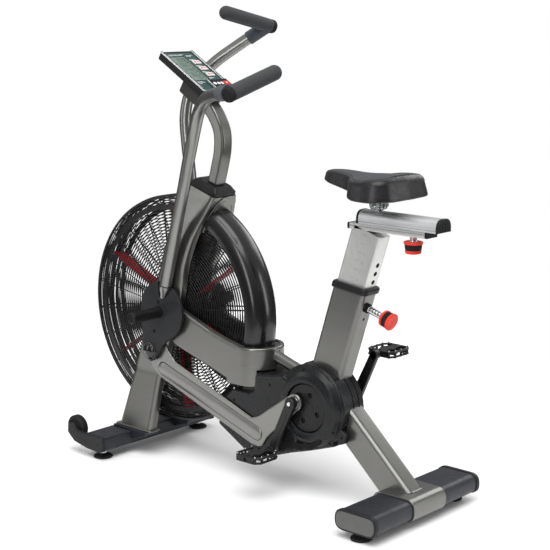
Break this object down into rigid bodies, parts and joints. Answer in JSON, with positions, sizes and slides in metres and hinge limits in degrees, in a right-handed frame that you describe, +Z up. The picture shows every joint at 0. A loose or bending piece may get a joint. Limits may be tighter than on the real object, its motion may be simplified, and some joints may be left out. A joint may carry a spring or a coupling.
{
  "type": "fan exercise bike",
  "caption": "Upright exercise bike with a caged air-resistance fan, pedals linked to swinging hand levers, a sliding saddle on a raked post and a tilted console.",
  "frame": {"origin": "middle of the machine's outer box, on the floor under it", "axes": "+Z up, -X forward towards the fan, so the rider faces -X and the rider's left is -Y"},
  "size_m": [1.296, 0.6594, 1.3529],
  "materials": {
    "frame_grey": "warm metallic grey, satin clear coat",
    "stabilizer_black": "satin black paint",
    "fender_black": "high gloss black moulding",
    "housing_black": "fine-grained satin black moulding",
    "rocker_black": "fine-grained matt black moulding",
    "trim_black": "matt black moulding",
    "collar_black": "satin black moulding",
    "tyre_black": "matt moulded rubber",
    "foot_rubber": "moulded pad",
    "cage_wire": "black powder-coated wire",
    "fan_red": "red powder-coated sheet",
    "knob_red": "orange-red moulding with black grip",
    "bare_steel": "turned steel",
    "post_silver": "brushed along its length",
    "rail_silver": "satin anodised extrusion, black end caps",
    "belt_rubber": "ribbed belt",
    "crank_black": "satin black forging",
    "disc_black": "satin black disc",
    "link_grey": "warm metallic grey pressing",
    "pedal_black": "satin black casting with steel pins",
    "peg_black": "black knurled tube",
    "grip_foam": "soft dark grey foam",
    "saddle_vinyl": "grained synthetic leather, stitched",
    "console_black": "satin black moulding",
    "console_green": "printed dark green membrane",
    "console_trim": "satin silver trim",
    "display": "liquid-crystal display behind a clear window",
    "key_white": "soft white key with a red mark",
    "key_red": "red key with a white mark"
  },
  "bodies": {
    "frame": {"front_stabilizer": "stabilizer_black", "rear_stabilizer": "stabilizer_black", "front_end_left": "trim_black", "fork_left": "frame_grey", "rear_arm_left": "frame_grey", "fan_cage_left": "cage_wire", "crank_housing_left": "housing_black", "foot_peg_left": "peg_black", "front_end_right": "trim_black", "fork_right": "frame_grey", "rear_arm_right": "frame_grey", "fan_cage_right": "cage_wire", "crank_housing_right": "housing_black", "foot_peg_right": "peg_black", "rear_bow": "frame_grey", "bottom_bracket": "bare_steel", "seat_column": "frame_grey", "rear_leg": "frame_grey", "column_collar": "collar_black", "neck_collar": "collar_black", "console_mast": "frame_grey", "console_case": "console_black", "console_face": "console_green", "lcd_window": "display", "console_rails": "console_trim", "fan_axle": "bare_steel", "fan_fender": "fender_black", "drive_belt": "belt_rubber"},
    "crank": {"crank_spindle": "bare_steel", "crank_disc_left": "disc_black", "crank_disc_right": "disc_black", "crank_arm_left": "crank_black", "crank_arm_right": "crank_black"},
    "pedal_left": {"pedal_left": "pedal_black"},
    "pedal_right": {"pedal_right": "pedal_black"},
    "fan": {"fan_rotor": "fan_red", "fan_pulley": "bare_steel"},
    "left_lever": {"lever_tube_left": "frame_grey", "rocker_left": "rocker_black", "grip_left": "grip_foam"},
    "right_lever": {"lever_tube_right": "frame_grey", "rocker_right": "rocker_black", "grip_right": "grip_foam"},
    "left_link": {"lever_link_left": "link_grey"},
    "right_link": {"lever_link_right": "link_grey"},
    "seat_post": {"seat_post": "post_silver"},
    "saddle_slide": {"seat_slider": "rail_silver", "saddle": "saddle_vinyl"},
    "post_knob": {"post_knob": "knob_red"},
    "slider_knob": {"slider_knob": "knob_red"},
    "left_wheel": {"transport_wheel_left": "tyre_black"},
    "right_wheel": {"transport_wheel_right": "tyre_black"},
    "front_left_foot": {"front_foot_left": "foot_rubber"},
    "front_right_foot": {"front_foot_right": "foot_rubber"},
    "rear_left_foot": {"rear_foot_left": "foot_rubber"},
    "rear_right_foot": {"rear_foot_right": "foot_rubber"},
    "key_1": {"key_1": "key_white"},
    "key_2": {"key_2": "key_white"},
    "key_3": {"key_3": "key_white"},
    "key_start": {"key_start": "key_red"}
  },
  "joints": [
    {"name": "crank_spin", "type": "hinge", "parent": "frame", "child": "crank", "pos_m": [0.249, 0, 0.264], "axis": [0, 1, 0], "continuous": true},
    {"name": "pedal_left_spin", "type": "hinge", "parent": "crank", "child": "pedal_left", "pos_m": [0.14489, 0, 0.12584], "axis": [0, 1, 0], "continuous": true},
    {"name": "pedal_right_spin", "type": "hinge", "parent": "crank", "child": "pedal_right", "pos_m": [0.35311, 0, 0.40216], "axis": [0, 1, 0], "continuous": true},
    {"name": "fan_spin", "type": "hinge", "parent": "frame", "child": "fan", "pos_m": [-0.307, 0, 0.455], "axis": [0, 1, 0], "continuous": true},
    {"name": "left_lever_swing", "type": "hinge", "parent": "frame", "child": "left_lever", "pos_m": [-0.307, 0, 0.455], "axis": [0, 1, 0], "range_deg": [-31, 0]},
    {"name": "right_lever_swing", "type": "hinge", "parent": "frame", "child": "right_lever", "pos_m": [-0.307, 0, 0.455], "axis": [0, 1, 0], "range_deg": [0, 31]},
    {"name": "left_link_swing", "type": "hinge", "parent": "left_lever", "child": "left_link", "pos_m": [-0.34999, 0, 0.32914], "axis": [0, 1, 0], "range_deg": [0, 31]},
    {"name": "right_link_swing", "type": "hinge", "parent": "right_lever", "child": "right_link", "pos_m": [-0.27967, 0, 0.32484], "axis": [0, 1, 0], "range_deg": [-31, 0]},
    {"name": "seat_height", "type": "slide", "parent": "frame", "child": "seat_post", "axis": [0.3007, 0, 0.9537], "range_m": [-0.09, 0.066]},
    {"name": "seat_reach", "type": "slide", "parent": "seat_post", "child": "saddle_slide", "axis": [1, 0, 0], "range_m": [-0.045, 0.045]},
    {"name": "post_knob_pull", "type": "slide", "parent": "frame", "child": "post_knob", "axis": [0.9537, 0, -0.3007], "range_m": [0, 0.01], "stiffness_N_per_m": 900, "springref_m": -0.002},
    {"name": "slider_knob_pull", "type": "slide", "parent": "seat_post", "child": "slider_knob", "axis": [0, 0, -1], "range_m": [0, 0.01], "stiffness_N_per_m": 900, "springref_m": -0.005},
    {"name": "left_wheel_spin", "type": "hinge", "parent": "frame", "child": "left_wheel", "pos_m": [-0.549, 0, 0.076], "axis": [0, 1, 0], "continuous": true},
    {"name": "right_wheel_spin", "type": "hinge", "parent": "frame", "child": "right_wheel", "pos_m": [-0.549, 0, 0.076], "axis": [0, 1, 0], "continuous": true},
    {"name": "key_1_press", "type": "slide", "parent": "frame", "child": "key_1", "axis": [-0.512, 0, -0.859], "range_m": [0, 0.002], "stiffness_N_per_m": 300, "springref_m": -0.001},
    {"name": "key_2_press", "type": "slide", "parent": "frame", "child": "key_2", "axis": [-0.512, 0, -0.859], "range_m": [0, 0.002], "stiffness_N_per_m": 300, "springref_m": -0.001},
    {"name": "key_3_press", "type": "slide", "parent": "frame", "child": "key_3", "axis": [-0.512, 0, -0.859], "range_m": [0, 0.002], "stiffness_N_per_m": 300, "springref_m": -0.001},
    {"name": "key_start_press", "type": "slide", "parent": "frame", "child": "key_start", "axis": [-0.512, 0, -0.859], "range_m": [0, 0.0025], "stiffness_N_per_m": 300, "springref_m": -0.001},
    {"name": "front_left_foot_screw", "type": "slide", "parent": "frame", "child": "front_left_foot", "axis": [0, 0, -1], "range_m": [0, 0.012]},
    {"name": "front_right_foot_screw", "type": "slide", "parent": "frame", "child": "front_right_foot", "axis": [0, 0, -1], "range_m": [0, 0.012]},
    {"name": "rear_left_foot_screw", "type": "slide", "parent": "frame", "child": "rear_left_foot", "axis": [0, 0, -1], "range_m": [0, 0.012]},
    {"name": "rear_right_foot_screw", "type": "slide", "parent": "frame", "child": "rear_right_foot", "axis": [0, 0, -1], "range_m": [0, 0.012]}
  ],
  "couplings": [
    {"joint": "fan_spin", "follows": "crank_spin", "ratio": 4.1667},
    {"joint": "right_lever_swing", "follows": "left_lever_swing", "ratio": -1},
    {"joint": "left_link_swing", "follows": "left_lever_swing", "ratio": -1},
    {"joint": "right_link_swing", "follows": "left_lever_swing", "ratio": 1}
  ]
}
